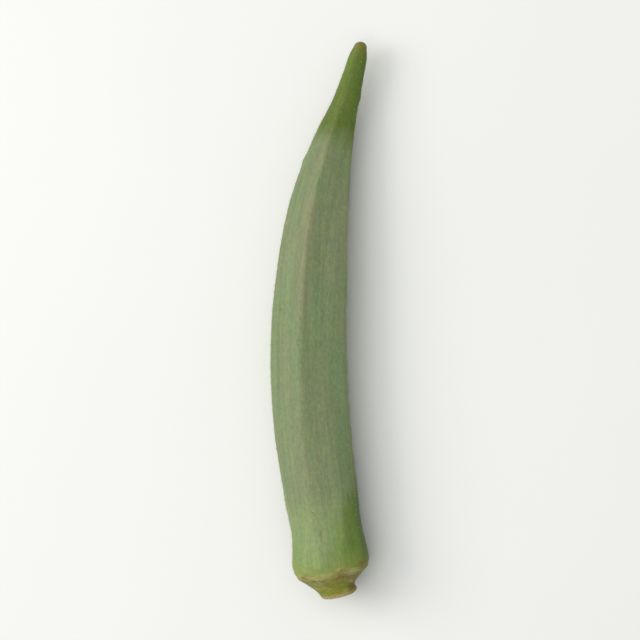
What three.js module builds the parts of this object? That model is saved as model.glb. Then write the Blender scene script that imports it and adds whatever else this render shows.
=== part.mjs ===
// An okra pod as it was picked, lying on a table.
// It is one grown body. A five-sided pod bows gently sideways and tapers to a blunt tip,
// with a rib along each of its five corners. At its other end a rounded shoulder turns in
// to the ring scar left by the flower, and to a short leaning stalk with a slanting cut.
// Units are millimetres. X runs across the pod, Y points to its tip, Z is up from the table.
// The origin is on the table, under the middle of the pod's box.

import * as THREE from 'three';

// Stations along the pod, from the cut end of the stalk to the tip.
// x and y are where the pod's spine lies, seen from above. lean is the way it runs there,
// in degrees from Y towards X. half is half the pod's width. corner is how sharp its
// five corners are, from 0 for round to 1. under is the gap between it and the table.
const stations = [
  { name: 'cut end', x: 5.0, y: -62.9, lean: -12, half: 4.2, corner: 0, under: 4.25 },
  { name: 'stalk', x: 4.65, y: -62.0, lean: -12, half: 4.3, corner: 0, under: 4.05 },
  { name: 'stalk neck', x: 3.65, y: -60.8, lean: -9, half: 4.75, corner: 0, under: 3.7 },
  { name: 'scar groove', x: 2.95, y: -59.4, lean: -7, half: 6.25, corner: 0, under: 2.3 },
  { name: 'scar ridge', x: 2.9, y: -57.6, lean: -7, half: 7.95, corner: 0, under: 0.6 },
  { name: 'shoulder', x: 3.0, y: -55.6, lean: -7, half: 8.75, corner: 0.03, under: 0 },
  { name: 'above shoulder', x: 2.75, y: -53.0, lean: -8, half: 8.6, corner: 0.05, under: 0.1 },
  { name: 'waist', x: 2.1, y: -48.3, lean: -10, half: 8.1, corner: 0.09, under: 0.5 },
  { name: 'lower body', x: 0.9, y: -39.9, lean: -10, half: 8.45, corner: 0.16, under: 0.3 },
  { name: 'belly', x: -1.0, y: -26.0, lean: -7, half: 8.85, corner: 0.3, under: 0 },
  { name: 'bow', x: -1.95, y: -8.0, lean: -1, half: 8.85, corner: 0.58, under: 0 },
  { name: 'upper body', x: -1.4, y: 9.0, lean: 3, half: 8.25, corner: 0.8, under: 0.2 },
  { name: 'taper', x: 0.1, y: 25.0, lean: 8, half: 7.0, corner: 0.9, under: 1.0 },
  { name: 'beak', x: 3.7, y: 42.4, lean: 15, half: 4.3, corner: 0.62, under: 2.6 },
  { name: 'slim beak', x: 5.7, y: 49.3, lean: 16, half: 3.1, corner: 0.35, under: 3.2 },
  { name: 'end of the beak', x: 7.6, y: 56.0, lean: 16, half: 2.45, corner: 0.2, under: 3.6 },
  { name: 'below the tip', x: 9.0, y: 61.5, lean: 14, half: 1.75, corner: 0.1, under: 4.2 },
  { name: 'tip', x: 9.5, y: 63.6, lean: 12, half: 0.95, corner: 0, under: 5.0 },
];

// The pod's section: five faces, the first of them flat on the table.
const faceCount = 5;
const firstFace = -Math.PI / 2;
const faceTurn = (2 * Math.PI) / faceCount;
const roundPower = 3;
const sharpPower = 16;

// The ribs stand on the corners, lower where the pod is slim.
const ribHeight = 0.25;
const ribSpread = 0.9;
const ribFullHalfWidth = 6;

// The ring scar round the base, a groove and a ridge: where each is, from the cut end, how high
// and how wide. Its line rises on each face by the scallop.
const scar = [
  { at: 4.2, height: -0.14, spread: 0.32 },
  { at: 5.3, height: 0.22, spread: 0.45 },
];
const scallop = 0.35;

// The cut leans out at its top, and this slant dies out along the stalk.
const cutSlant = THREE.MathUtils.degToRad(7);
const cutSlantReach = 2.5;

// The rim of the cut and the blunt tip are rounded over these lengths, and the pod's weight
// presses it this flat.
const rimRound = 1.1;
const tipRound = 1.5;
const pressedFlat = 0.15;

// Mesh: rings along the pod and corners round it.
const rimRings = 4;
const capLength = 9;
const capRings = 18;
const bodyRings = 42;
const tipRings = 6;
const facetsPerFace = 10;
const sectors = faceCount * facetsPerFace;
const cutFaceRings = [0.92, 0.5];

// Distance of each station from the cut end, measured along the spine.
function stationPlaces() {
  const places = [0];
  for (let i = 1; i < stations.length; i += 1) {
    const step = Math.hypot(stations[i].x - stations[i - 1].x, stations[i].y - stations[i - 1].y);
    places.push(places[i - 1] + step);
  }
  return places;
}

const places = stationPlaces();
const spineLength = places[places.length - 1];

// Slope of a measure at a station: a straight line between its neighbours at the two ends,
// and elsewhere the parabola through the station and both neighbours.
function slopeAt(key, i) {
  const last = stations.length - 1;
  const rise = (a, b) => (stations[b][key] - stations[a][key]) / (places[b] - places[a]);
  if (i === 0) return rise(0, 1);
  if (i === last) return rise(last - 1, last);
  const before = places[i] - places[i - 1];
  const after = places[i + 1] - places[i];
  return (rise(i - 1, i) * after + rise(i, i + 1) * before) / (before + after);
}

// A measure of the stations at any distance from the cut end, by cubic Hermite curves.
function measureAt(key, distance) {
  let i = 0;
  while (i < stations.length - 2 && places[i + 1] <= distance) i += 1;
  const span = places[i + 1] - places[i];
  const t = Math.min(Math.max((distance - places[i]) / span, 0), 1);
  const fromStart = (2 * t - 3) * t * t + 1;
  const startSlope = ((t - 2) * t + 1) * t;
  const endSlope = (t - 1) * t * t;
  return fromStart * stations[i][key] + (1 - fromStart) * stations[i + 1][key]
    + span * (startSlope * slopeAt(key, i) + endSlope * slopeAt(key, i + 1));
}

// Distance from the spine to the skin for a five-sided section whose faces are 1 away:
// each face adds its cosine to a power, and a high power makes flat faces and sharp corners.
function sectionReach(angle, corner) {
  const power = roundPower + (sharpPower - roundPower) * corner;
  let sum = 0;
  for (let face = 0; face < faceCount; face += 1) {
    const facing = Math.cos(angle - firstFace - face * faceTurn);
    if (facing > 0) sum += facing ** power;
  }
  return sum ** (-1 / power);
}

// How far round the pod an angle is from the nearest corner.
function angleFromCorner(angle) {
  const turns = (angle - firstFace) / faceTurn - 0.5;
  return Math.abs(turns - Math.round(turns)) * faceTurn;
}

// The angle of each corner of the mesh, starting on the rib that points to the side.
function sectorAngles() {
  const sideRib = firstFace + 1.5 * faceTurn;
  return Array.from({ length: sectors }, (_, j) => sideRib + (j * 2 * Math.PI) / sectors);
}

// Half the pod's width at a distance from the cut end. A quarter circle is taken off the rim
// of the cut, and a quarter ellipse closes the blunt tip.
function halfWidthAt(distance) {
  const tipStart = spineLength - tipRound;
  const intoRim = Math.max(1 - distance / rimRound, 0);
  const intoTip = Math.min(Math.max((distance - tipStart) / tipRound, 0), 1);
  const half = measureAt('half', Math.min(distance, tipStart)) * Math.sqrt(1 - intoTip * intoTip);
  return half - rimRound * (1 - Math.sqrt(1 - intoRim * intoRim));
}

// How far the scar lifts the skin: a bell curve of the distance to its groove and its ridge.
function scarHeight(distance, angle) {
  const rise = scallop * Math.cos(faceCount * (angle - firstFace));
  let height = 0;
  for (const ring of scar) {
    height += ring.height * Math.exp(-(((distance - ring.at - rise) / ring.spread) ** 2));
  }
  return height;
}

// One ring of the skin. shrink draws it in towards the spine, to close the cut face.
function ringPoints(distance, angles, shrink = 1) {
  const lean = THREE.MathUtils.degToRad(measureAt('lean', distance));
  const corner = Math.min(Math.max(measureAt('corner', distance), 0), 1);
  const half = halfWidthAt(distance);
  const widest = Math.max(...angles.map((a) => sectionReach(a, corner) * Math.cos(a)));
  const spineHeight = (measureAt('half', distance) / widest) * sectionReach(firstFace, corner)
    + measureAt('under', distance) - pressedFlat;
  const slant = cutSlant * Math.max(1 - distance / cutSlantReach, 0);
  const rib = ribHeight * Math.min(half / ribFullHalfWidth, 1) * corner;
  return angles.map((angle) => {
    const face = (half / widest) * sectionReach(angle, corner);
    const fromRib = (angleFromCorner(angle) * face) / ribSpread;
    const ribLift = rib * Math.exp(-fromRib * fromRib);
    const reach = (face + scarHeight(distance, angle) + ribLift) * shrink;
    const side = reach * Math.cos(angle);
    const up = reach * Math.sin(angle);
    return new THREE.Vector3(
      measureAt('x', distance) + side * Math.cos(lean),
      measureAt('y', distance) - side * Math.sin(lean) - up * Math.tan(slant),
      Math.max(spineHeight + up, 0),
    );
  });
}

// Where the rings stand: close together on the rim, the cap and the tip, wider on the body.
function ringDistances() {
  const tipStart = spineLength - tipRound;
  const distances = [];
  for (let i = 0; i < rimRings; i += 1) {
    distances.push(rimRound * (1 - Math.cos((i / rimRings) * (Math.PI / 2))));
  }
  for (let i = 0; i < capRings; i += 1) {
    distances.push(rimRound + ((capLength - rimRound) * i) / capRings);
  }
  for (let i = 0; i < bodyRings; i += 1) {
    distances.push(capLength + ((tipStart - capLength) * i) / bodyRings);
  }
  for (let i = 0; i < tipRings; i += 1) {
    distances.push(tipStart + tipRound * Math.sin((i / tipRings) * (Math.PI / 2)));
  }
  return distances;
}

// The skin as one closed mesh: the cut face, the rings from stalk to tip, and the tip's point.
function podGeometry() {
  const angles = sectorAngles();
  const rings = [
    ...cutFaceRings.slice().reverse().map((shrink) => ringPoints(0, angles, shrink)),
    ...ringDistances().map((distance) => ringPoints(distance, angles)),
  ];
  const middle = (ring) => ring.reduce((sum, p) => sum.add(p), new THREE.Vector3()).divideScalar(sectors);
  const points = [middle(rings[0]), ...rings.flat(), ringPoints(spineLength, angles)[0]];
  const tipPoint = points.length - 1;
  const at = (ring, sector) => 1 + ring * sectors + (sector % sectors);
  const faces = [];
  for (let j = 0; j < sectors; j += 1) {
    faces.push(0, at(0, j), at(0, j + 1));
    for (let i = 0; i < rings.length - 1; i += 1) {
      faces.push(at(i, j), at(i + 1, j), at(i + 1, j + 1));
      faces.push(at(i, j), at(i + 1, j + 1), at(i, j + 1));
    }
    faces.push(tipPoint, at(rings.length - 1, j + 1), at(rings.length - 1, j));
  }
  const geometry = new THREE.BufferGeometry().setFromPoints(points);
  geometry.setIndex(faces);
  geometry.computeBoundingBox();
  const centre = geometry.boundingBox.getCenter(new THREE.Vector3());
  geometry.translate(-centre.x, -centre.y, 0);
  geometry.computeVertexNormals();
  return geometry;
}

const podSkin = new THREE.MeshStandardMaterial({ color: 0x7a8f4f, roughness: 0.6, metalness: 0 });

const pod = new THREE.Mesh(podGeometry(), podSkin);
pod.name = 'okra_pod';

const okra = new THREE.Group();
okra.add(pod);

export default okra;
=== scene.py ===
# %% [markdown]
# # An okra pod, grown from its section
#
# An okra pod is one grown body. Seeds swell in five chambers under its green wall, so the wall has
# five faces, and a rib stands where two faces meet. The pod bows a little as it hangs, tapers to
# the blunt tip where the flower's style was, and ends at its base in a rounded shoulder, the ring
# scars of the fallen flower and a short cut stalk. Here it lies on a table, on one of its faces.
#
# The pod could be sculpted, or subdivided from a coarse cage. It is worked out as a surface of two
# parameters instead: how far along the pod a point is, and at what angle round it. Every detail is
# then a small formula in those two numbers, and the same two numbers place the hairs.
#
# The first step loads the solid model of the pod, which is the frame that everything here fits.

# %% Load the frame
import math

import bpy
import numpy as np
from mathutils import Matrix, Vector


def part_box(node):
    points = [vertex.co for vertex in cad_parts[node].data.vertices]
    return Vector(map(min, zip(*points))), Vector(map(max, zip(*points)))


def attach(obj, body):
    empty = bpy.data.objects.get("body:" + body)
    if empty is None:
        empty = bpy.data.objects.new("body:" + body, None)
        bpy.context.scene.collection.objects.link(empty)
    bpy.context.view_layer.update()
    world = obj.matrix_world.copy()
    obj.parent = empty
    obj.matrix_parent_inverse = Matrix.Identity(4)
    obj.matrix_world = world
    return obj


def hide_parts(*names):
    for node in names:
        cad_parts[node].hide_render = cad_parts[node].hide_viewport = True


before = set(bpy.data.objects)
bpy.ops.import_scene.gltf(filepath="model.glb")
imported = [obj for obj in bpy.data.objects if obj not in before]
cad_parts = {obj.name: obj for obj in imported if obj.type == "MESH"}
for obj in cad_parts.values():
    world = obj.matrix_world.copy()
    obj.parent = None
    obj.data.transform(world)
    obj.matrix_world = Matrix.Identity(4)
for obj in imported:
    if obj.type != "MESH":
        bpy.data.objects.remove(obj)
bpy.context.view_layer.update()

MM = 0.001  # one millimetre in Blender's metres
pod_low, pod_high = (np.array(corner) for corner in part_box("okra_pod"))
print("solid pod, in mm:", np.round((pod_high - pod_low) / MM, 1))

# %% [markdown]
# ## The pod's run
#
# A grown thing has no ruler edges, but a few measures taken along it say nearly all of its shape.
# Each station below gives where the spine lies, seen from above, which way it leans there, half
# the pod's width, how sharp its five corners are, and the gap between the pod and the table.
# A smooth curve through the stations is closer to growth than an arc or a straight taper would be.

# %% Stations from the cut end of the stalk to the tip
# Each row: across, along, lean in degrees, half width, corner from 0 to 1, gap under.
# Lengths are in mm.
STATIONS = np.array([
    [5.0, -62.9, -12, 4.2, 0.0, 4.25],  # cut end
    [4.65, -62.0, -12, 4.3, 0.0, 4.05],  # stalk
    [3.65, -60.8, -9, 4.75, 0.0, 3.7],  # stalk neck
    [2.95, -59.4, -7, 6.25, 0.0, 2.3],  # scar groove
    [2.9, -57.6, -7, 7.95, 0.0, 0.6],  # scar ridge
    [3.0, -55.6, -7, 8.75, 0.03, 0.0],  # shoulder
    [2.75, -53.0, -8, 8.6, 0.05, 0.1],  # above the shoulder
    [2.1, -48.3, -10, 8.1, 0.09, 0.5],  # waist
    [0.9, -39.9, -10, 8.45, 0.16, 0.3],  # lower body
    [-1.0, -26.0, -7, 8.85, 0.3, 0.0],  # belly
    [-1.95, -8.0, -1, 8.85, 0.58, 0.0],  # bow
    [-1.4, 9.0, 3, 8.25, 0.8, 0.2],  # upper body
    [0.1, 25.0, 8, 7.0, 0.9, 1.0],  # taper
    [3.7, 42.4, 15, 4.3, 0.62, 2.6],  # beak
    [5.7, 49.3, 16, 3.1, 0.35, 3.2],  # slim beak
    [7.6, 56.0, 16, 2.45, 0.2, 3.6],  # end of the beak
    [9.0, 61.5, 14, 1.75, 0.1, 4.2],  # below the tip
    [9.5, 63.6, 12, 0.95, 0.0, 5.0],  # tip
])
spine_x, spine_y, lean, half_width, corner, gap_under = STATIONS.T
steps = np.hypot(np.diff(spine_x), np.diff(spine_y))
station_places = np.concatenate([[0.0], np.cumsum(steps)])
POD_LENGTH = station_places[-1]
print(f"{len(STATIONS)} stations along {POD_LENGTH:.1f} mm of spine")


# %% A smooth curve through the stations
def at_place(measure, place):
    """A measure at any distance from the cut end, in mm.

    Between two stations it is a cubic Hermite curve. The slope at each station is that of the
    parabola through it and its two neighbours, and at the ends that of the straight line.
    """
    slopes = np.gradient(measure, station_places)
    i = np.searchsorted(station_places, place, side="right") - 1
    i = np.clip(i, 0, len(station_places) - 2)
    span = station_places[i + 1] - station_places[i]
    t = np.clip((place - station_places[i]) / span, 0, 1)
    from_start = (2 * t - 3) * t * t + 1
    start_slope = ((t - 2) * t + 1) * t
    end_slope = (t - 1) * t * t
    bend = span * (start_slope * slopes[i] + end_slope * slopes[i + 1])
    return from_start * measure[i] + (1 - from_start) * measure[i + 1] + bend


RIM_ROUND = 1.1  # mm over which the rim of the cut is rounded
TIP_ROUND = 1.5  # mm over which the blunt tip is rounded


def half_width_at(place):
    """Half the width in mm: the stations' curve, less what the rounded rim and tip take off.

    A quarter circle is taken off at the rim of the cut, and a quarter ellipse closes the tip.
    """
    into_rim = np.clip(1 - place / RIM_ROUND, 0, 1)
    into_tip = np.clip((place - POD_LENGTH + TIP_ROUND) / TIP_ROUND, 0, 1)
    before_tip = np.minimum(place, POD_LENGTH - TIP_ROUND)
    half = at_place(half_width, before_tip) * np.sqrt(1 - into_tip**2)
    return half - RIM_ROUND * (1 - np.sqrt(1 - into_rim**2))


print("widest:", round(2 * float(half_width_at(station_places).max()), 1), "mm")

# %% [markdown]
# ## The section
#
# A cut across the pod shows a pentagon with soft corners, nearly round at the shoulder and crisp
# towards the tip. A rounded pentagon could be drawn with arcs, but then its corners could not
# change along the pod. A sum of powers does it in one line: each face gives its cosine, the
# cosines are raised to a power and added, and a higher power makes flatter faces.

# %% Five faces and their ribs
FACE_COUNT = 5
FIRST_FACE = -math.pi / 2  # straight down, on the table
FACE_TURN = 2 * math.pi / FACE_COUNT
ROUND_POWER = 3
SHARP_POWER = 16
RIB_HEIGHT = 0.25  # mm
RIB_SPREAD = 0.9  # mm
RIB_FULL_HALF_WIDTH = 6  # mm; on a slimmer pod the ribs are lower
JUST_ABOVE_ZERO = 1e-9  # a face turned away adds this instead of a negative number


def section_reach(angle, sharpness):
    """Spine to skin, for faces that are 1 away: (sum of facing cosines to a power) to -1/power."""
    power = ROUND_POWER + (SHARP_POWER - ROUND_POWER) * sharpness
    total = 0
    for face in range(FACE_COUNT):
        facing = np.cos(angle - FIRST_FACE - face * FACE_TURN)
        total = total + np.maximum(facing, JUST_ABOVE_ZERO) ** power
    return total ** (-1 / power)


def from_rib(angle):
    """The angle to the nearest corner: the face turns are counted, and the whole ones taken off."""
    turns = (angle - FIRST_FACE) / FACE_TURN - 0.5
    return np.abs(turns - np.round(turns)) * FACE_TURN


TRIED_ANGLES = 241


def widest_reach(sharpness):
    """Half the width of the section whose faces are 1 away from the spine."""
    round_angles = np.linspace(0, 2 * math.pi, TRIED_ANGLES)
    across = section_reach(round_angles, sharpness[..., None]) * np.cos(round_angles)
    return across.max(axis=-1)


for sharpness in (0, 0.5, 1):
    corner_reach = section_reach(FIRST_FACE + FACE_TURN / 2, sharpness)
    print(f"a corner of sharpness {sharpness} stands at {corner_reach:.3f} of a face's distance")

# %% [markdown]
# ## What growth adds
#
# A plain loft looks cast. On the real pod the seeds lift the wall in faint rows, the wall wavers,
# the stalk is fluted, and the fallen flower leaves a corky ridge and groove with ragged edges.
# Noise textures could push the mesh about afterwards, but sums of waves stay exact functions of
# place and angle, they close on themselves round the pod, and a seed keeps them the same each time.

# %% Waves, seeds, flutes and the scar
rng = np.random.default_rng(20)


def random_waves(count, most_round, shortest, longest):
    """Waves for one use: count round the pod, radians per mm, phase, and a share that sums to 1."""
    share = rng.uniform(0.5, 1.0, count)
    return list(zip(
        rng.integers(0, most_round + 1, count),
        2 * math.pi / rng.uniform(shortest, longest, count) * rng.choice([-1, 1], count),
        rng.uniform(0, 2 * math.pi, count),
        share / share.sum(),
    ))


def wave_sum(waves, place, angle):
    """The waves added up: share times the cosine of (count * angle + radians per mm * place + phase)."""
    total = 0
    for count, per_mm, phase, share in waves:
        total = total + share * np.cos(count * angle + per_mm * place + phase)
    return total


WALL_WAVES = random_waves(10, 7, 14, 60)
SMALL_WAVES = random_waves(16, 22, 3.5, 12)
RAGGED_WAVES = random_waves(14, 30, 4, 9)
WALL_WAVER = 0.18  # mm
SMALL_WAVER = 0.05  # mm

SEED_PITCH = 5.4  # mm, as the four measures below are
SEED_LIFT = 0.07
SEED_START = 14
SEED_END = 104
SEED_FADE_IN = 15
SEED_FADE_OUT = 25
SEED_ROW_POWER = 12  # higher for narrower rows
seed_phase = rng.uniform(0, 2 * math.pi, FACE_COUNT)


def seed_rows(place, angle):
    """Faint swellings along each face: a cosine of place, times how squarely the face is met."""
    rows = 0
    for face in range(FACE_COUNT):
        squarely = np.clip(np.cos(angle - FIRST_FACE - face * FACE_TURN), 0, 1) ** SEED_ROW_POWER
        rows = rows + squarely * np.cos(2 * math.pi * place / SEED_PITCH + seed_phase[face])
    fade_in = np.clip((place - SEED_START) / SEED_FADE_IN, 0, 1)
    fade_out = np.clip((SEED_END - place) / SEED_FADE_OUT, 0, 1)
    return SEED_LIFT * rows * (fade_in * fade_out)


GROOVE_PLACE = 4.2  # mm from the cut end; the scar's other measures are in mm too
GROOVE_DEPTH = 0.14
GROOVE_SPREAD = 0.32
RIDGE_PLACE = 5.3
RIDGE_HEIGHT = 0.22
RIDGE_SPREAD = 0.45
SCALLOP = 0.35
RAGGED = 0.5
CLIMB = 0.9
CLIMB_SIDE = math.radians(12)
OTHER_STRETCH = 20  # the same waves, read this much further along


def off_ring(ring_place, place, angle):
    """Distance in mm to a ring round the base.

    Its ragged line rises by the scallop on each of the five faces, and climbs on one side, in a
    bell curve of the angle: (1 + cosine) / 2 to the fourth power.
    """
    line = ring_place + SCALLOP * np.cos(FACE_COUNT * (angle - FIRST_FACE))
    line = line + CLIMB * (0.5 + 0.5 * np.cos(angle - CLIMB_SIDE)) ** 4
    return place - line - RAGGED * wave_sum(RAGGED_WAVES, place, angle)


def scar_rings(place, angle):
    """The scar: a bell curve of the distance to its ridge, less another round its groove.

    Both are made uneven by 1 plus a sum of waves.
    """
    broken = 1 + wave_sum(RAGGED_WAVES, place + OTHER_STRETCH, angle)
    ridge = RIDGE_HEIGHT * np.exp(-(off_ring(RIDGE_PLACE, place, angle) / RIDGE_SPREAD) ** 2)
    groove = GROOVE_DEPTH * np.exp(-(off_ring(GROOVE_PLACE, place, angle) / GROOVE_SPREAD) ** 2)
    return broken * (ridge - groove)


# Each knob: place in mm, angle in degrees, half length, half width and height in mm.
# One rib is at 18 degrees, and there is one every 72.
SEEN_KNOBS = [(116.2, 8, 1.1, 1.2, 0.26)]
OTHER_KNOBS = 9
other_knobs = np.column_stack([
    rng.uniform(40, 118, OTHER_KNOBS),
    18 + 72 * rng.integers(0, FACE_COUNT, OTHER_KNOBS) + rng.uniform(-9, 9, OTHER_KNOBS),
    rng.uniform(0.6, 1.3, OTHER_KNOBS),
    rng.uniform(0.5, 0.9, OTHER_KNOBS),
    rng.uniform(0.06, 0.14, OTHER_KNOBS),
])


def spot_shape(place, angle, reach, spot):
    """A bell curve round one spot: of place over half length, and of arc over half width."""
    spot_place, degrees, half_long, half_wide = spot
    turned = angle - math.radians(degrees)
    aside = np.arctan2(np.sin(turned), np.cos(turned)) * reach
    return np.exp(-(((place - spot_place) / half_long) ** 2 + (aside / half_wide) ** 2))


def rib_knobs(place, angle, reach):
    """Small knobs on and beside the ribs, each a bell curve of its own size and height."""
    total = 0
    for *spot, height in [*SEEN_KNOBS, *other_knobs]:
        total = total + height * spot_shape(place, angle, reach, spot)
    return total


FLUTES = 11
FLUTE_DEPTH = 0.09  # mm
FLUTE_REACH = 3.2  # mm along the stalk
FLUTE_TWIST = 0.6  # radians per mm


def stalk_flutes(place, angle):
    """Shallow flutes: a cosine of the angle, uneven by a sum of waves, in a bell curve of place."""
    turned = FLUTES * angle + FLUTE_TWIST * place + wave_sum(RAGGED_WAVES, 0, angle)
    return -FLUTE_DEPTH * np.exp(-(place / FLUTE_REACH) ** 2) * (0.5 + 0.5 * np.cos(turned))


print("waves:", len(WALL_WAVES), len(SMALL_WAVES), len(RAGGED_WAVES), "seed rows:", FACE_COUNT)

# %% [markdown]
# ## The whole surface
#
# All of it now comes together in one function. It takes a place along the pod and an angle round
# it, in arrays of any shape, so one call makes the whole skin and another call finds where each
# hair stands. The last line of the shape is the table: no point goes through it, so the pod's
# weight leaves a small flat spot, as it does on the solid model.

# %% From place and angle to a point
CUT_SLANT = math.radians(7)
CUT_SLANT_REACH = 2.5  # mm, as the lengths below are
PRESSED_FLAT = 0.15
WAVER_START = 6
WAVER_FADE_IN = 8
WAVER_FULL_HALF_WIDTH = 8


def skin_reach(place, angle):
    """Spine to skin in mm: the section at its width, plus rib, waves, knobs, seeds, scar and flutes.

    The waves fade in past the scar and are smaller where the pod is slim.
    """
    sharpness = np.clip(at_place(corner, place), 0, 1)
    half = half_width_at(place)
    face = half / widest_reach(sharpness) * section_reach(angle, sharpness)
    rib = RIB_HEIGHT * np.minimum(half / RIB_FULL_HALF_WIDTH, 1) * sharpness
    face = face + rib * np.exp(-(from_rib(angle) * face / RIB_SPREAD) ** 2)
    fade_in = np.clip((place - WAVER_START) / WAVER_FADE_IN, 0, 1)
    body = fade_in * np.clip(half / WAVER_FULL_HALF_WIDTH, 0, 1)
    face = face + body * WALL_WAVER * wave_sum(WALL_WAVES, place, angle)
    face = face + body * SMALL_WAVER * wave_sum(SMALL_WAVES, place, angle)
    face = face + rib_knobs(place, angle, face)
    small_forms = seed_rows(place, angle) + scar_rings(place, angle) + stalk_flutes(place, angle)
    tip_fade = np.clip(half, 0, 1)
    return face + tip_fade * small_forms


def pod_point(place, angle, draw_in=1.0):
    """The skin's point in metres.

    The section stands across the spine. Its side is reach times the cosine of the angle, turned
    by the spine's lean, and its height is reach times the sine. The cut leans out as it rises.
    draw_in pulls the point towards the spine, which closes the cut face.
    """
    place, angle = np.broadcast_arrays(place, angle)
    sharpness = np.clip(at_place(corner, place), 0, 1)
    under_spine = section_reach(FIRST_FACE, sharpness) / widest_reach(sharpness)
    spine_height = at_place(half_width, place) * under_spine + at_place(gap_under, place)
    spine_height = spine_height - PRESSED_FLAT
    reach = skin_reach(place, angle) * draw_in
    side = reach * np.cos(angle)
    rise = reach * np.sin(angle)
    turn = np.radians(at_place(lean, place))
    slant = np.tan(CUT_SLANT * np.clip(1 - place / CUT_SLANT_REACH, 0, 1))
    x = at_place(spine_x, place) + side * np.cos(turn)
    y = at_place(spine_y, place) - side * np.sin(turn) - rise * slant
    z = np.maximum(spine_height + rise, 0)
    return np.stack([x, y, z], axis=-1) * MM


SMALL_STEP = 0.02  # mm along the pod, and radians round it


def skin_frame(place, angle):
    """Point, outward normal and direction to the tip.

    The normal is the cross product of two small steps, one along the pod and one round it.
    """
    here = pod_point(place, angle)
    along = pod_point(place + SMALL_STEP, angle) - here
    around = pod_point(place, angle + SMALL_STEP) - here
    outward = np.cross(along, around)
    outward /= np.linalg.norm(outward, axis=-1, keepdims=True)
    along /= np.linalg.norm(along, axis=-1, keepdims=True)
    return here, outward, along


print("tip at, in mm:", np.round(pod_point(POD_LENGTH, 0.0) / MM, 1))

# %% [markdown]
# ## The skin as a mesh
#
# A grid of points carries the surface: rows along the pod and columns round it. Even steps would
# waste faces on the flat sides and starve the ribs, the scars and the tip, so the rows crowd
# together at both ends and the columns crowd towards the ribs. The grid starts at one point in
# the middle of the cut face and ends at one point on the tip, so the skin is closed.

# %% Rows and columns
COLUMNS = 220
CROWDING = 0.45
FIRST_RIB = FIRST_FACE + 1.5 * FACE_TURN

even = np.linspace(0, 2 * math.pi, COLUMNS, endpoint=False)
column_angles = FIRST_RIB + even - CROWDING / FACE_COUNT * np.sin(FACE_COUNT * even)

CUT_FACE_ROWS = 12
RIM_ROWS = 12
CAP_LENGTH = 9.0  # mm
CAP_STEP = 0.16  # mm
BODY_ROWS = 340
TIP_ROWS = 14
TIP_START = POD_LENGTH - TIP_ROUND
cut_draw_in = np.sin(np.linspace(0, math.pi / 2, CUT_FACE_ROWS, endpoint=False))
rim_rows = RIM_ROUND * (1 - np.cos(np.linspace(0, math.pi / 2, RIM_ROWS, endpoint=False)))
cap_rows = np.arange(RIM_ROUND, CAP_LENGTH, CAP_STEP)
body_rows = np.linspace(CAP_LENGTH, TIP_START, BODY_ROWS, endpoint=False)
tip_rows = TIP_START + TIP_ROUND * np.sin(np.linspace(0, math.pi / 2, TIP_ROWS))
skin_rows = np.concatenate([rim_rows, cap_rows, body_rows, tip_rows])

row_places = np.concatenate([np.zeros(CUT_FACE_ROWS), skin_rows])
row_draw_in = np.concatenate([cut_draw_in, np.ones(len(skin_rows))])
print(f"{len(row_places)} rows of {COLUMNS} columns")


# %% A closed mesh from the grid
def closed_grid_faces(rows, columns):
    """Corners of each face of a closed tube whose first and last rows are single points.

    A quad joins each point to the next row and the next column, in the order that faces it
    outwards, and a fan of triangles closes each end.
    """
    ring = 1 + np.arange((rows - 2) * columns).reshape(rows - 2, columns)
    beside = np.roll(ring, -1, axis=1)
    quads = np.stack([ring[:-1], ring[1:], beside[1:], beside[:-1]], axis=-1).reshape(-1, 4)
    first_fan = np.stack([np.zeros(columns, int), ring[0], beside[0]], axis=-1)
    last_fan = np.stack([np.full(columns, ring[-1, -1] + 1), beside[-1], ring[-1]], axis=-1)
    return quads, np.concatenate([first_fan, last_fan])


def new_mesh_object(name, points, face_groups):
    """A mesh object at the origin, from points and arrays of faces with one corner count each."""
    corners = np.concatenate([group.reshape(-1) for group in face_groups]).astype(np.int32)
    sizes = np.concatenate([np.full(len(group), group.shape[1]) for group in face_groups])
    starts = np.concatenate([[0], np.cumsum(sizes)[:-1]]).astype(np.int32)
    mesh = bpy.data.meshes.new(name)
    mesh.vertices.add(len(points))
    mesh.vertices.foreach_set("co", points.astype(np.float32).reshape(-1))
    mesh.loops.add(len(corners))
    mesh.loops.foreach_set("vertex_index", corners)
    mesh.polygons.add(len(sizes))
    mesh.polygons.foreach_set("loop_start", starts)
    mesh.polygons.foreach_set("use_smooth", np.ones(len(sizes), bool))
    mesh.update(calc_edges=True)
    mesh.validate()
    piece = bpy.data.objects.new(name, mesh)
    bpy.context.scene.collection.objects.link(piece)
    return piece


def keep_poles(grid):
    """The grid as one list of points, with the first and the last row each cut down to one point."""
    inside = grid[1:-1].reshape(-1, *grid.shape[2:])
    return np.concatenate([grid[:1, 0], inside, grid[-1:, 0]])


print("grid tools ready for", len(row_places) * COLUMNS, "points")

# %% The skin, dished at the cut and set in the frame
place_grid = row_places[:, None] + np.zeros(COLUMNS)
angle_grid = np.zeros(len(row_places))[:, None] + column_angles
draw_in_grid = row_draw_in[:, None] + np.zeros(COLUMNS)
skin_grid = pod_point(place_grid, angle_grid, draw_in_grid)

CUT_DISH = 0.3  # mm
cut_depth = CUT_DISH * MM * (1 - row_draw_in**2)
cut_turn = math.radians(lean[0])
skin_grid[..., 0] += cut_depth[:, None] * math.sin(cut_turn)
skin_grid[..., 1] += cut_depth[:, None] * math.cos(cut_turn)

box_middle = (skin_grid.min(axis=(0, 1)) + skin_grid.max(axis=(0, 1))) / 2
to_frame = (pod_low + pod_high) / 2 - box_middle
to_frame[2] = 0
skin_grid += to_frame

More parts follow.
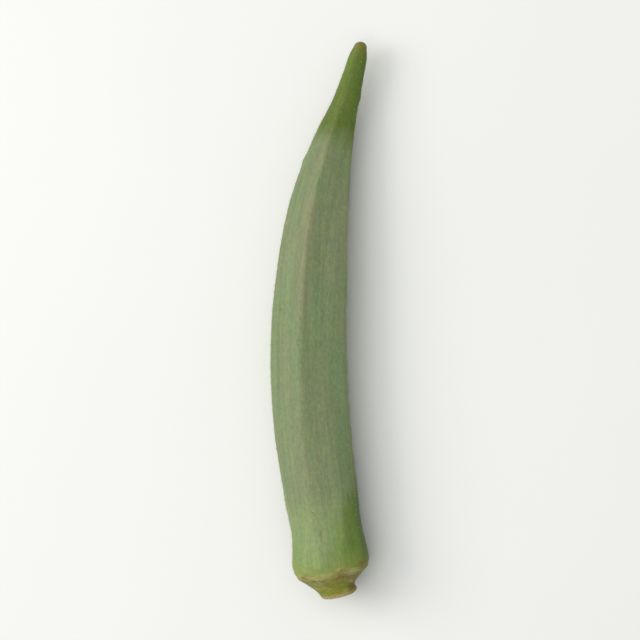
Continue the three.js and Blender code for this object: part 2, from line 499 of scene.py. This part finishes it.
quads, fans = closed_grid_faces(*skin_grid.shape[:2])
skin = new_mesh_object("okra_skin", keep_poles(skin_grid), [quads, fans])
print("skin:", len(skin.data.vertices), "points,", 2 * len(quads) + len(fans), "triangles,",
      "box in mm:", np.round(np.ptp(skin_grid, axis=(0, 1)) / MM, 2))

# %% [markdown]
# ## What the finish needs to know
#
# Streaks run along the pod and follow its bow, so the pattern cannot be laid in plain object
# coordinates. Each point therefore keeps where it would be if the pod were straight, and how near
# it is to a rib, to the scar, to a bruise or stain and to the middle of the cut. It also keeps how
# far it faces the lamps, and how much grey bloom it has. The bloom is partly the short down's dusty
# grey and partly a painted pale haze, which is a painted reflection. It is thinner at the shoulder
# and the beak, and thicker on the side that faces the lamps, which is painted light. A UV map could
# say as much, but it has a seam, and noise on it shows that seam. The UV map made here serves only
# to unroll the skin on a flat sheet.

# %% Straight place, ribs and scar
def keep_attribute(piece, name, kind, values):
    """Stores one value for each point: a FLOAT, or three numbers as a FLOAT_VECTOR."""
    field = "vector" if kind == "FLOAT_VECTOR" else "value"
    attribute = piece.data.attributes.new(name, kind, "POINT")
    attribute.data.foreach_set(field, values.astype(np.float32).reshape(-1))


reach_grid = skin_reach(place_grid, angle_grid) * draw_in_grid
straight_x = reach_grid * np.cos(angle_grid)
straight_y = reach_grid * np.sin(angle_grid)
straight = np.stack([straight_x, straight_y, place_grid], axis=-1)
keep_attribute(skin, "straight", "FLOAT_VECTOR", keep_poles(straight * MM))
keep_attribute(skin, "draw_in", "FLOAT", keep_poles(draw_in_grid))

RUBBED_HALF_WIDTH = 1.5  # mm
sharpness_grid = np.clip(at_place(corner, place_grid), 0, 1)
rib_line = np.exp(-(from_rib(angle_grid) * reach_grid / RUBBED_HALF_WIDTH) ** 2) * sharpness_grid
keep_attribute(skin, "rib_line", "FLOAT", keep_poles(rib_line))

# The colours of the scar spread wider than its relief, in mm to each side of their lines
BROWN_SPREAD = 0.55
CORK_SPREAD = 0.9
HEALED_SPREAD = 1.5
HEALED_PLACE = 4.0  # mm from the cut end, the middle of the healed band
groove_line = np.exp(-(off_ring(GROOVE_PLACE, place_grid, angle_grid) / BROWN_SPREAD) ** 2)
ridge_line = np.exp(-(off_ring(RIDGE_PLACE, place_grid, angle_grid) / CORK_SPREAD) ** 2)
ring_zone = np.exp(-(off_ring(HEALED_PLACE, place_grid, angle_grid) / HEALED_SPREAD) ** 4)
keep_attribute(skin, "ring_zone", "FLOAT", keep_poles(ring_zone))
keep_attribute(skin, "groove_line", "FLOAT", keep_poles(groove_line))
keep_attribute(skin, "ridge_line", "FLOAT", keep_poles(ridge_line))
print("rib share of the skin:", round(float(rib_line.mean()), 2))

# %% Bloom, with painted haze and with painted light on the side that faces the lamps
# The bloom's strength at each place in mm, and how much more of it the side that faces the lamps
# has than the far side; this lean is painted light, as the pale bloom makes the lit side lighter
LAMP_SIDE = math.radians(110)
facing_lamps = np.cos(angle_grid - LAMP_SIDE)
keep_attribute(skin, "toward_lamps", "FLOAT", keep_poles(0.5 + 0.5 * facing_lamps))
# The bloom is partly the down's own grey and partly a painted pale haze, a painted reflection
bloom_haze_reach = np.interp(place_grid, [0, 7, 19, 25, 95, 102, 108, 112, 118],
                        [-0.35, -0.05, 0.25, 0.6, 0.75, 0.6, 0.44, 0.04, -0.4])
haze_lean_to_lamps = np.interp(place_grid, [90, 102, 108, 112, 118], [0.45, 0.1, -0.15, 0.05, 0.22])
keep_attribute(skin, "bloom_haze", "FLOAT", keep_poles(bloom_haze_reach + haze_lean_to_lamps * facing_lamps))

# %% Bruises and stains
# Each mark: place in mm, angle in degrees, half length and half width in mm
SEEN_BRUISES = [
    (21.8, 30, 1.6, 0.45),
    (14.6, 84, 1.6, 0.35),
    (2.8, 86, 0.5, 0.8),
    (107.0, 98, 1.3, 0.35),
]
OTHER_BRUISES = 16
other_bruises = np.column_stack([
    rng.uniform(8, 112, OTHER_BRUISES),
    rng.uniform(170, 390, OTHER_BRUISES),
    rng.uniform(0.5, 1.6, OTHER_BRUISES),
    rng.uniform(0.25, 0.6, OTHER_BRUISES),
])
SEEN_STAINS = [(7.2, 18, 1.0, 2.2), (2.6, 8, 1.6, 2.0), (1.2, 20, 0.8, 1.6)]
OTHER_STAINS = 6
other_stains = np.column_stack([
    rng.uniform(1, 8, OTHER_STAINS),
    rng.uniform(150, 340, OTHER_STAINS),
    rng.uniform(0.5, 1.0, OTHER_STAINS),
    rng.uniform(0.8, 1.8, OTHER_STAINS),
])


def marks(*lists):
    """How strongly each point is marked: the bell curves of all the marks, added."""
    every_mark = [mark for group in lists for mark in group]
    return sum(spot_shape(place_grid, angle_grid, reach_grid, mark) for mark in every_mark)


keep_attribute(skin, "bruise", "FLOAT", keep_poles(marks(SEEN_BRUISES, other_bruises)))
keep_attribute(skin, "stain", "FLOAT", keep_poles(marks(SEEN_STAINS, other_stains)))
print("bruises:", len(SEEN_BRUISES) + OTHER_BRUISES, "stains:", len(SEEN_STAINS) + OTHER_STAINS)


# %% The unrolled map
def unroll(piece, rows, columns):
    """UV for each face corner: columns run across the sheet, rows up it, poles at mid column."""
    sheet = piece.data.uv_layers.new(name="OFBake")
    i, j = np.meshgrid(np.arange(1, rows - 2), np.arange(columns), indexing="ij")
    quad_u = np.stack([j, j, j + 1, j + 1], axis=-1) / columns
    quad_v = np.stack([i, i + 1, i + 1, i], axis=-1) / (rows - 1)
    j = np.arange(columns)
    first_u = np.stack([j + 0.5, j, j + 1], axis=-1) / columns
    first_v = np.stack([0 * j, 0 * j + 1, 0 * j + 1], axis=-1) / (rows - 1)
    last_u = np.stack([j + 0.5, j + 1, j], axis=-1) / columns
    last_v = np.stack([0 * j + rows - 1, 0 * j + rows - 2, 0 * j + rows - 2], axis=-1) / (rows - 1)
    u = np.concatenate([part.reshape(-1) for part in (quad_u, first_u, last_u)])
    v = np.concatenate([part.reshape(-1) for part in (quad_v, first_v, last_v)])
    sheet.data.foreach_set("uv", np.stack([u, v], axis=-1).astype(np.float32).reshape(-1))


unroll(skin, *skin_grid.shape[:2])
print("attributes:", [a.name for a in skin.data.attributes if not a.name.startswith(".")])

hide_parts("okra_pod")
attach(skin, "root")

# %% [markdown]
# ## Small tools for materials
#
# A material here is a chain of patterns, and each pattern is one or two nodes. Placed by hand,
# nodes take many lines that say little, so each kind gets a helper that adds it and gives back
# the socket to use next. Colours are written as a picture editor shows them and changed to the
# linear numbers that light is reckoned in.

# %% Node helpers
def linear(red, green, blue):
    """Screen colour from 0 to 255 to linear light: ((c + 0.055) / 1.055) to the power 2.4."""
    screen = np.array([red, green, blue]) / 255
    light = np.where(screen > 0.04045, ((screen + 0.055) / 1.055) ** 2.4, screen / 12.92)
    return (*light, 1.0)


def new_material(name):
    """A material with an empty node tree but for its shader, and that tree and shader with it."""
    material = bpy.data.materials.new(name)
    material.use_nodes = True
    return material, material.node_tree, material.node_tree.nodes["Principled BSDF"]


def put(tree, socket, value):
    """Gives a socket its value: a link if the value is another node's socket, or else a number."""
    if isinstance(value, bpy.types.NodeSocket):
        tree.links.new(value, socket)
    else:
        socket.default_value = value


def attribute(tree, name, output="Fac"):
    """What each point keeps under a name: Fac for one number, Vector for three."""
    node = tree.nodes.new("ShaderNodeAttribute")
    node.attribute_name = name
    return node.outputs[output]


def stretched(tree, vector, scale):
    """The vector times a scale for each axis, so that a pattern is finer across than along."""
    node = tree.nodes.new("ShaderNodeMapping")
    put(tree, node.inputs["Vector"], vector)
    node.inputs["Scale"].default_value = scale
    return node.outputs["Vector"]


def noise(tree, vector, detail=3.0, roughness=0.5):
    """Cloudy noise from 0 to 1: layers added up, each twice as fine and fainter by roughness."""
    node = tree.nodes.new("ShaderNodeTexNoise")
    put(tree, node.inputs["Vector"], vector)
    node.inputs["Scale"].default_value = 1.0
    node.inputs["Detail"].default_value = detail
    node.inputs["Roughness"].default_value = roughness
    return node.outputs["Fac"]


def spots(tree, vector):
    """Distance to the nearest of a set of scattered points, one to each cell."""
    node = tree.nodes.new("ShaderNodeTexVoronoi")
    put(tree, node.inputs["Vector"], vector)
    node.inputs["Scale"].default_value = 1.0
    return node.outputs["Distance"]


print("linear mid green:", np.round(linear(128, 145, 90)[:3], 3))


# %% Node helpers for amounts, colours and relief
def span(tree, value, low, high, to_low=0.0, to_high=1.0):
    """Maps low..high to to_low..to_high in a soft step, and holds the ends."""
    node = tree.nodes.new("ShaderNodeMapRange")
    node.interpolation_type = "SMOOTHSTEP"
    node.inputs["From Min"].default_value = low
    node.inputs["From Max"].default_value = high
    node.inputs["To Min"].default_value = to_low
    node.inputs["To Max"].default_value = to_high
    put(tree, node.inputs["Value"], value)
    return node.outputs["Result"]


def reckon(tree, operation, first, second):
    """One sum of two amounts: ADD, SUBTRACT, MULTIPLY, DIVIDE or MAXIMUM."""
    node = tree.nodes.new("ShaderNodeMath")
    node.operation = operation
    put(tree, node.inputs[0], first)
    put(tree, node.inputs[1], second)
    return node.outputs["Value"]


def both(tree, first, second):
    """One amount times another, so that a mark shows only where both are there."""
    return reckon(tree, "MULTIPLY", first, second)


def tint(tree, amount, under, over, mode="MIX"):
    """Lays one colour over another: (1 - amount) times the one plus amount times the other.

    In the MULTIPLY mode the colour laid on is first multiplied by the one under it.
    """
    node = tree.nodes.new("ShaderNodeMix")
    node.data_type = "RGBA"
    node.blend_type = mode
    put(tree, node.inputs["Factor"], amount)
    put(tree, node.inputs["A"], under)
    put(tree, node.inputs["B"], over)
    return node.outputs["Result"]


def colour_bands(tree, value, bands):
    """A colour for each value, blended smoothly between bands of (value, colour)."""
    node = tree.nodes.new("ShaderNodeValToRGB")
    node.color_ramp.interpolation = "EASE"
    stops = node.color_ramp.elements
    while len(stops) < len(bands):
        stops.new(0.5)
    for stop, (position, colour) in zip(stops, bands):
        stop.position = position
        stop.color = colour
    put(tree, node.inputs["Fac"], value)
    return node.outputs["Color"]


def bumped(tree, height, distance, under=None):
    """Turns a height from 0 to 1 into a normal, for a relief of the given depth in metres."""
    node = tree.nodes.new("ShaderNodeBump")
    node.inputs["Distance"].default_value = distance
    put(tree, node.inputs["Height"], height)
    if under is not None:
        put(tree, node.inputs["Normal"], under)
    return node.outputs["Normal"]


print("a relief 0.1 mm deep is given to its node as", 0.1 * MM, "m")

# %% [markdown]
# ## The green skin
#
# Okra is never one green. It is olive on the stalk, fresh at the shoulder and deep on the beak, and
# along the flanks a grey bloom lies over it, partly the down's own grey and partly a painted pale
# haze, a painted reflection. The side that faces the lamps is painted with more bloom, as painted
# light, and the side away from them is painted a darker, deeper green, as painted shade. Fibres
# under the skin show as pale and dark streaks, pits and hair roots stipple it, the ribs are rubbed
# to a pinkish tan, and old grazes heal brown.
#
# Painting these on an image would be quick, but a painted image has one resolution and repeats
# itself. Layered noise stays sharp, and each layer below is one of the things named here.

# %% The green, the bloom with its painted haze, and painted shade
skin_material, tree, shader = new_material("okra_skin")
straight_place = attribute(tree, "straight", "Vector")
split = tree.nodes.new("ShaderNodeSeparateXYZ")
put(tree, split.inputs["Vector"], straight_place)
along = reckon(tree, "DIVIDE", split.outputs["Z"], POD_LENGTH * MM)

drift = noise(tree, stretched(tree, straight_place, (70, 70, 25)), detail=2)
drift = both(tree, reckon(tree, "SUBTRACT", drift, 0.5), 0.05)
along_drifted = reckon(tree, "ADD", along, drift)
green = colour_bands(tree, along_drifted, [
    (0.0, linear(130, 134, 40)),
    (0.03, linear(132, 140, 48)),
    (0.055, linear(134, 150, 66)),
    (0.09, linear(111, 138, 60)),
    (0.2, linear(106, 128, 58)),
    (0.7, linear(104, 126, 58)),
    (0.84, linear(92, 114, 40)),
    (0.96, linear(96, 118, 40)),
    (1.0, linear(114, 120, 48)),
])

# Bloom: partly the down's own grey and partly a painted pale haze, a painted reflection, paler near the
# shoulder
patches = noise(tree, stretched(tree, straight_place, (170, 170, 40)), detail=3)
bloom_haze_tone = tint(tree, span(tree, patches, 0.4, 0.62), linear(128, 145, 107), linear(134, 142, 109))
bloom_haze_tone = tint(tree, span(tree, along, 0.2, 0.14, 0, 0.7), bloom_haze_tone, linear(146, 164, 112))
bloom_haze_edge = reckon(tree, "ADD", attribute(tree, "bloom_haze"), both(tree, patches, 0.5))
bloom_haze_cover = span(tree, bloom_haze_edge, 0.42, 0.92, 0, 0.82)
green = tint(tree, bloom_haze_cover, green, bloom_haze_tone)

bare = reckon(tree, "SUBTRACT", 1.0, bloom_haze_cover)
toward_lamps = attribute(tree, "toward_lamps")
# Painted shade: where the bloom is thin, the side away from the lamps is painted a darker, deeper green
painted_shade = both(tree, span(tree, toward_lamps, 0.9, 0.35), bare)
green = tint(tree, painted_shade, green, (0.66, 0.72, 0.56, 1.0), "MULTIPLY")
# Painted shade: on the shoulder, the side away from the lamps is painted darker still
painted_shoulder_shade = both(tree, span(tree, toward_lamps, 0.58, 0.4), span(tree, along, 0.26, 0.16))
green = tint(tree, painted_shoulder_shade, green, (0.68, 0.68, 0.46, 1.0), "MULTIPLY")
print("green and bloom:", len(tree.nodes), "nodes")

# %% Streaks, mottle and stipple
wide_streaks = noise(tree, stretched(tree, straight_place, (420, 420, 16)), detail=3, roughness=0.55)
streaks = noise(tree, stretched(tree, straight_place, (1100, 1100, 34)), detail=4, roughness=0.6)
mottle = noise(tree, stretched(tree, straight_place, (1900, 1900, 1100)), detail=3, roughness=0.6)
shade = span(tree, wide_streaks, 0.3, 0.7, 0.94, 1.06)
shade = both(tree, shade, span(tree, streaks, 0.3, 0.7, 0.92, 1.08))
shade = both(tree, shade, span(tree, mottle, 0.3, 0.7, 0.9, 1.1))
green = tint(tree, 1.0, green, shade, "MULTIPLY")

blotches = noise(tree, stretched(tree, straight_place, (420, 420, 300)), detail=2)
bluish = (0.97, 0.99, 1.0, 1.0)
yellowish = (1.04, 1.02, 0.95, 1.0)
blotch_tone = tint(tree, span(tree, blotches, 0.36, 0.64), bluish, yellowish)
green = tint(tree, 1.0, green, blotch_tone, "MULTIPLY")

stipple = spots(tree, stretched(tree, straight_place, (620, 620, 420)))
green = tint(tree, span(tree, stipple, 0.16, 0.06, 0, 0.28), green, linear(166, 174, 128))
print("with streaks and stipple:", len(tree.nodes), "nodes")

# %% Rubbed ribs, bruises and healed grazes
rib_line_seen = attribute(tree, "rib_line")
rib_patches = noise(tree, stretched(tree, straight_place, (230, 230, 60)), detail=3)
rib_rub = both(tree, rib_line_seen, span(tree, rib_patches, 0.38, 0.62))
rib_rub = both(tree, rib_rub, span(tree, along, 0.3, 0.7, 0.2, 0.5))
worn = tint(tree, rib_rub, green, linear(144, 134, 104))

rust_grain = noise(tree, stretched(tree, straight_place, (1500, 1500, 700)), detail=3, roughness=0.65)
rust = both(tree, rib_line_seen, span(tree, rust_grain, 0.6, 0.68, 0, 0.5))
worn = tint(tree, rust, worn, linear(136, 92, 60))

bruise = both(tree, attribute(tree, "bruise"), span(tree, rust_grain, 0.3, 0.6, 0.35, 1.0))
worn = tint(tree, span(tree, bruise, 0.15, 0.8, 0, 0.55), worn, linear(110, 88, 68))

graze_area = noise(tree, stretched(tree, straight_place, (75, 75, 45)), detail=1)
grazes = noise(tree, stretched(tree, straight_place, (700, 700, 260)), detail=3, roughness=0.65)
graze = both(tree, span(tree, grazes, 0.63, 0.7, 0, 0.5), span(tree, graze_area, 0.52, 0.66))
worn = tint(tree, graze, worn, linear(108, 94, 60))

stain = both(tree, attribute(tree, "stain"), span(tree, rust_grain, 0.3, 0.6, 0.4, 1.0))
worn = tint(tree, span(tree, stain, 0.1, 0.8, 0, 0.7), worn, linear(116, 90, 10))
print("with wear:", len(tree.nodes), "nodes")

# %% [markdown]
# ## The scar and the cut
#
# Where petals and stamens fell, the skin healed as cork: a pale, mottled ridge with a dark, broken
# groove under it, in a band of olive brown. The stalk was cut through, so its face is pale and wet
# in the middle, with a darker ring of vessels, and its rim has dried to a patchy tan edge.
#
# The scar could be a ring of its own, laid round the pod, but skin and scar grew as one. The same
# line that lifts the ridge also colours it, so the relief and the colour always meet.

# %% Cork on the scar
cork_grain = noise(tree, stretched(tree, straight_place, (330, 330, 2600)), detail=5, roughness=0.65)
cork = colour_bands(tree, cork_grain, [
    (0.36, linear(122, 108, 58)),
    (0.48, linear(154, 150, 86)),
    (0.6, linear(182, 180, 118)),
])
groove_breaks = noise(tree, stretched(tree, straight_place, (300, 300, 1500)), detail=3)
healed = both(tree, attribute(tree, "ring_zone"), span(tree, groove_breaks, 0.36, 0.6, 0.05, 0.5))
scarred = tint(tree, healed, worn, linear(134, 116, 56))
ridge_cover = both(tree, attribute(tree, "ridge_line"), span(tree, patches, 0.35, 0.6, 0.45, 0.9))
ridge_cover = both(tree, ridge_cover, span(tree, toward_lamps, 0.48, 0.7, 0.4, 1.0))
scarred = tint(tree, ridge_cover, scarred, cork)
groove_shows = span(tree, groove_breaks, 0.42, 0.58, 0, 0.75)
groove_cover = both(tree, attribute(tree, "groove_line"), groove_shows)
scarred = tint(tree, groove_cover, scarred, linear(126, 94, 54))
print("with the scar:", len(tree.nodes), "nodes")

# %% Flecks on the stalk, and the cut face
stalk_mottle = noise(tree, stretched(tree, straight_place, (520, 520, 1300)), detail=4, roughness=0.65)
stalk_only = span(tree, split.outputs["Z"], 6.5 * MM, 4.0 * MM)
dark_flecks = both(tree, stalk_only, span(tree, stalk_mottle, 0.52, 0.66, 0, 0.5))
pale_flecks = both(tree, stalk_only, span(tree, stalk_mottle, 0.47, 0.36, 0, 0.45))
scarred = tint(tree, dark_flecks, scarred, linear(104, 88, 40))
scarred = tint(tree, pale_flecks, scarred, linear(170, 170, 92))

draw_in_seen = attribute(tree, "draw_in")
cut_rings = colour_bands(tree, draw_in_seen, [
    (0.0, linear(196, 198, 156)),
    (0.32, linear(188, 192, 142)),
    (0.62, linear(158, 168, 100)),
    (0.74, linear(130, 142, 74)),
    (0.86, linear(162, 168, 104)),
    (0.95, linear(146, 124, 78)),
])
fibres = noise(tree, stretched(tree, straight_place, (2600, 2600, 2600)), detail=4, roughness=0.7)
cut_face = tint(tree, span(tree, fibres, 0.5, 0.75, 0, 0.5), cut_rings, linear(122, 112, 70))
is_cut = span(tree, draw_in_seen, 0.999, 0.97)
rim_breaks = span(tree, cork_grain, 0.38, 0.58, 0.35, 0.95)
rim = both(tree, span(tree, split.outputs["Z"], 1.2 * MM, 0.3 * MM), rim_breaks)
rim_tone = tint(tree, span(tree, fibres, 0.35, 0.65), linear(160, 134, 84), linear(196, 180, 134))
finish = tint(tree, rim, scarred, rim_tone)
finish = tint(tree, is_cut, finish, cut_face)

tip_fade_start = (POD_LENGTH - 2.4) * MM
tip_fade_end = (POD_LENGTH - 0.6) * MM
tip_end = span(tree, split.outputs["Z"], tip_fade_start, tip_fade_end, 0, 0.6)
finish = tint(tree, tip_end, finish, linear(128, 118, 52))
put(tree, shader.inputs["Base Color"], finish)
print("with stalk and cut:", len(tree.nodes), "nodes")

# %% Gloss, relief and the soft glow of living tissue
cork_cover = reckon(tree, "MAXIMUM", ridge_cover, groove_cover)
dull = reckon(tree, "MAXIMUM", cork_cover, is_cut)
gloss = span(tree, mottle, 0.3, 0.7, 0.52, 0.64)
put(tree, shader.inputs["Roughness"], reckon(tree, "ADD", gloss, both(tree, dull, 0.25)))

fibre_relief = bumped(tree, streaks, 0.00014)
grain = noise(tree, stretched(tree, straight_place, (4200, 4200, 3000)), detail=2)
relief = bumped(tree, grain, 0.00004, fibre_relief)
relief = bumped(tree, span(tree, stipple, 0.2, 0.05), 0.00003, relief)
relief = bumped(tree, both(tree, cork_grain, dull), 0.0002, relief)
put(tree, shader.inputs["Normal"], relief)

shader.inputs["Specular IOR Level"].default_value = 0.28
shader.inputs["Sheen Weight"].default_value = 0.03
shader.inputs["Sheen Roughness"].default_value = 0.45
shader.inputs["Subsurface Weight"].default_value = 0.12
shader.inputs["Subsurface Radius"].default_value = (1.0, 0.9, 0.35)
shader.inputs["Subsurface Scale"].default_value = 0.0012
skin.data.materials.append(skin_material)
print("skin material:", len(tree.nodes), "nodes")

# %% [markdown]
# ## Bristles on the ribs
#
# A finger drawn along an okra pod feels the ribs prickle. Each prickle is a stiff hair on a
# swollen foot, a third of a millimetre tall, and from the side they roughen the pod's outline. A
# hair system would be lost when the model is exported, so each bristle is a real little cone of a
# few faces, and one array call sets the corners of them all. They stand in patches, because
# picking and packing rub many of them off.

# %% Cones that stand on the skin
def standing_cones(place, angle, height, foot, slope, sides, profile):
    """Corners and faces of many cones.

    A cone's axis leans from the skin's normal towards the tip by slope, in radians. Ring k of
    the profile (up, wide) sits at up times height along the axis, with radius wide times foot,
    and the cone ends in one point. One flat face closes its foot, under the skin.
    """
    root, outward, tipward = skin_frame(place, angle)
    axis = outward * np.cos(slope)[:, None] + tipward * np.sin(slope)[:, None]
    across = np.cross(axis, tipward)
    across /= np.linalg.norm(across, axis=1, keepdims=True)
    other = np.cross(axis, across)
    turn = np.arange(sides) * 2 * math.pi / sides
    spokes = across[:, None] * np.cos(turn)[:, None] + other[:, None] * np.sin(turn)[:, None]
    rings = [root[:, None] + axis[:, None] * (up * height)[:, None, None]
             + spokes * (wide * foot)[:, None, None] for up, wide in profile]
    points = np.concatenate([*rings, (root + axis * height[:, None])[:, None]], axis=1)

    per_cone = points.shape[1]
    j = np.arange(sides)
    beside = (j + 1) % sides
    wall = np.stack([j, beside, sides + beside, sides + j], axis=1)
    last = (len(profile) - 1) * sides
    point = np.stack([last + j, last + beside, np.full(sides, per_cone - 1)], axis=1)
    base = np.arange(len(root))[:, None, None] * per_cone
    quads = [(base + k * sides + wall).reshape(-1, 4) for k in range(len(profile) - 1)]
    tops = (base + point).reshape(-1, 3)
    feet = (base + j[::-1]).reshape(-1, sides)
    return points.reshape(-1, 3) + to_frame, [*quads, tops, feet]


top_rib = np.array([math.pi / 2])
print("skin faces here on top of the bow:", np.round(skin_frame(np.array([60.0]), top_rib)[1][0], 2))

# %% A patchy row of bristles on each rib
BRISTLES_PER_RIB = 150
BRISTLE_START = 13  # mm
BRISTLE_END = 121  # mm
RIB_SCATTER = 0.28  # mm to each side of the rib
TABLE_CLEARANCE = 0.6  # mm
bristle_count = BRISTLES_PER_RIB * FACE_COUNT
spacing = (BRISTLE_END - BRISTLE_START) / BRISTLES_PER_RIB
in_row = np.tile(np.arange(BRISTLES_PER_RIB), FACE_COUNT)
bristle_place = BRISTLE_START + spacing * (in_row + rng.uniform(0, 1, bristle_count))
rib_angle = np.repeat(FIRST_RIB + FACE_TURN * np.arange(FACE_COUNT), BRISTLES_PER_RIB)
scatter = rng.normal(0, RIB_SCATTER, bristle_count)
bristle_angle = rib_angle + scatter / half_width_at(bristle_place)

clear_of_table = pod_point(bristle_place, bristle_angle)[:, 2] > TABLE_CLEARANCE * MM
still_there = 0.1 + 1.5 * wave_sum(WALL_WAVES, bristle_place, rib_angle)
rubbed_off = rng.uniform(-0.5, 0.5, bristle_count) > still_there
kept = clear_of_table & ~rubbed_off
bristle_place = bristle_place[kept]
bristle_angle = bristle_angle[kept]
bristle_count = len(bristle_place)
bristle_points, bristle_faces = standing_cones(
    bristle_place, bristle_angle,
    height=rng.uniform(0.22, 0.4, bristle_count) * MM,
    foot=rng.uniform(0.1, 0.16, bristle_count) * MM,
    slope=rng.uniform(0.3, 0.9, bristle_count),
    sides=6,
    profile=[(-0.15, 1.3), (0.12, 0.85), (0.3, 0.38), (0.7, 0.2)],
)
bristles = new_mesh_object("rib_bristles", bristle_points, bristle_faces)
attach(bristles, "root")
print("bristles:", bristle_count)

# %% [markdown]
# ## Down between the ribs
#
# The rest of the skin wears a short, pale down that lies towards the tip and blurs the pod's edge
# a little. It could be left to the bloom's colour alone, but then the edge of the pod would look
# cut out. Each hair is a three-sided spike, the fewest faces that still show from every side.

# %% Thousands of spikes
DOWN_TRIES = 16000
DOWN_START = 6  # mm from the cut end
DOWN_STOP = 3  # mm short of the tip
DOWN_CLEARANCE = 0.5  # mm above the table
down_place = rng.uniform(DOWN_START, POD_LENGTH - DOWN_STOP, DOWN_TRIES)
down_angle = rng.uniform(0, 2 * math.pi, DOWN_TRIES)
wide_enough = rng.uniform(0, 1, DOWN_TRIES) < half_width_at(down_place) / half_width.max()
down_root = pod_point(down_place, down_angle)
kept = wide_enough & (down_root[:, 2] > DOWN_CLEARANCE * MM)
down_place = down_place[kept]
down_angle = down_angle[kept]
down_count = len(down_place)
down_points, down_faces = standing_cones(
    down_place, down_angle,
    height=rng.uniform(0.28, 0.55, down_count) * MM,
    foot=rng.uniform(0.014, 0.022, down_count) * MM,
    slope=rng.uniform(0.6, 1.2, down_count),
    sides=3,
    profile=[(-0.1, 1.0)],
)
down = new_mesh_object("fine_down", down_points, down_faces)
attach(down, "root")
print("hairs:", down_count)

# %% The finish of bristles and down
bristle_material, tree, shader = new_material("bristle")
bristle_spot = tree.nodes.new("ShaderNodeTexCoord").outputs["Object"]
bristle_tone = noise(tree, stretched(tree, bristle_spot, (400, 400, 400)), detail=2)
bristle_colour = colour_bands(tree, bristle_tone, [
    (0.35, linear(120, 120, 72)),
    (0.65, linear(166, 154, 104)),
])
put(tree, shader.inputs["Base Color"], bristle_colour)
shader.inputs["Roughness"].default_value = 0.45
bristles.data.materials.append(bristle_material)

down_material, tree, shader = new_material("down")
shader.inputs["Base Color"].default_value = linear(150, 160, 112)
shader.inputs["Roughness"].default_value = 0.5
down.data.materials.append(down_material)
print("materials:", [material.name for material in bpy.data.materials])

# %% [markdown]
# ## The table, the light and the camera
#
# The pod is shown on a plain pale table, under a very wide soft light overhead and a smaller one
# from the left, in an evenly lit room. A small hard lamp would show every bump but throw a black
# shadow. Wide lights give the gentle change from face to face that shows the ribs, and the room is
# dimmer than they are, so the edges of the pod stay darker than its top. The camera looks down
# through a long lens, tipped a little to one side of the top rib.

# %% Table
TABLE_SIZE = 4  # metres
TABLE_GAP = 0.00002  # metres, so that the pod's flat spot and the table aren't one plane
bpy.ops.mesh.primitive_plane_add(size=TABLE_SIZE, location=(0, 0, -TABLE_GAP))
table = bpy.context.object
table.name = "table"
table_material, tree, shader = new_material("table")
table_spot = tree.nodes.new("ShaderNodeTexCoord").outputs["Object"]
table_tone = noise(tree, stretched(tree, table_spot, (12, 12, 12)), detail=3)
table_colour = tint(tree, table_tone, linear(236, 236, 232), linear(240, 240, 237))
put(tree, shader.inputs["Base Color"], table_colour)
shader.inputs["Roughness"].default_value = 0.7
table.data.materials.append(table_material)
print("table:", TABLE_SIZE, "m square")


# %% Light
def soft_light(name, place, size, power, colour):
    """A square lamp that faces the pod. Its place and size are in metres, its power in watts."""
    lamp = bpy.data.lights.new(name, "AREA")
    lamp.size = size
    lamp.energy = power
    lamp.color = colour
    lamp_object = bpy.data.objects.new(name, lamp)
    lamp_object.location = place
    towards_pod = -lamp_object.location
    lamp_object.rotation_euler = towards_pod.to_track_quat("-Z", "Y").to_euler()
    lamp_object.visible_camera = False
    bpy.context.scene.collection.objects.link(lamp_object)


soft_light("ceiling_light", (-0.1, 0.05, 1.0), 1.2, 5.35, (0.99, 0.995, 1.0))
soft_light("key_light", (-0.55, 0.12, 0.5), 0.45, 2.06, (1.0, 0.98, 0.9))

room = bpy.data.worlds.new("room")
bpy.context.scene.world = room
room.use_nodes = True
room_light = room.node_tree.nodes["Background"]
room_light.inputs["Color"].default_value = (0.96, 0.98, 1.0, 1.0)
room_light.inputs["Strength"].default_value = 0.495
print("lamps:", [lamp.name for lamp in bpy.data.lights])

# %% Camera
VIEW_TIP = math.radians(17)
LENS = 150  # mm
SENSOR = 36  # mm
SHARE_OF_FRAME = 0.87  # of the frame's height that the pod takes up

camera_data = bpy.data.cameras.new("camera")
camera_data.lens = LENS
camera_data.sensor_width = SENSOR
frame_height = (pod_high[1] - pod_low[1]) / SHARE_OF_FRAME
distance = frame_height * LENS / SENSOR
middle_height = (pod_low[2] + pod_high[2]) / 2
camera = bpy.data.objects.new("camera", camera_data)
camera.rotation_euler = (0, VIEW_TIP, 0)
camera.location = (distance * math.sin(VIEW_TIP), 0, middle_height + distance * math.cos(VIEW_TIP))
bpy.context.scene.collection.objects.link(camera)
bpy.context.scene.camera = camera
bpy.context.scene.view_settings.view_transform = "Standard"
print(f"camera {distance:.2f} m from the pod")
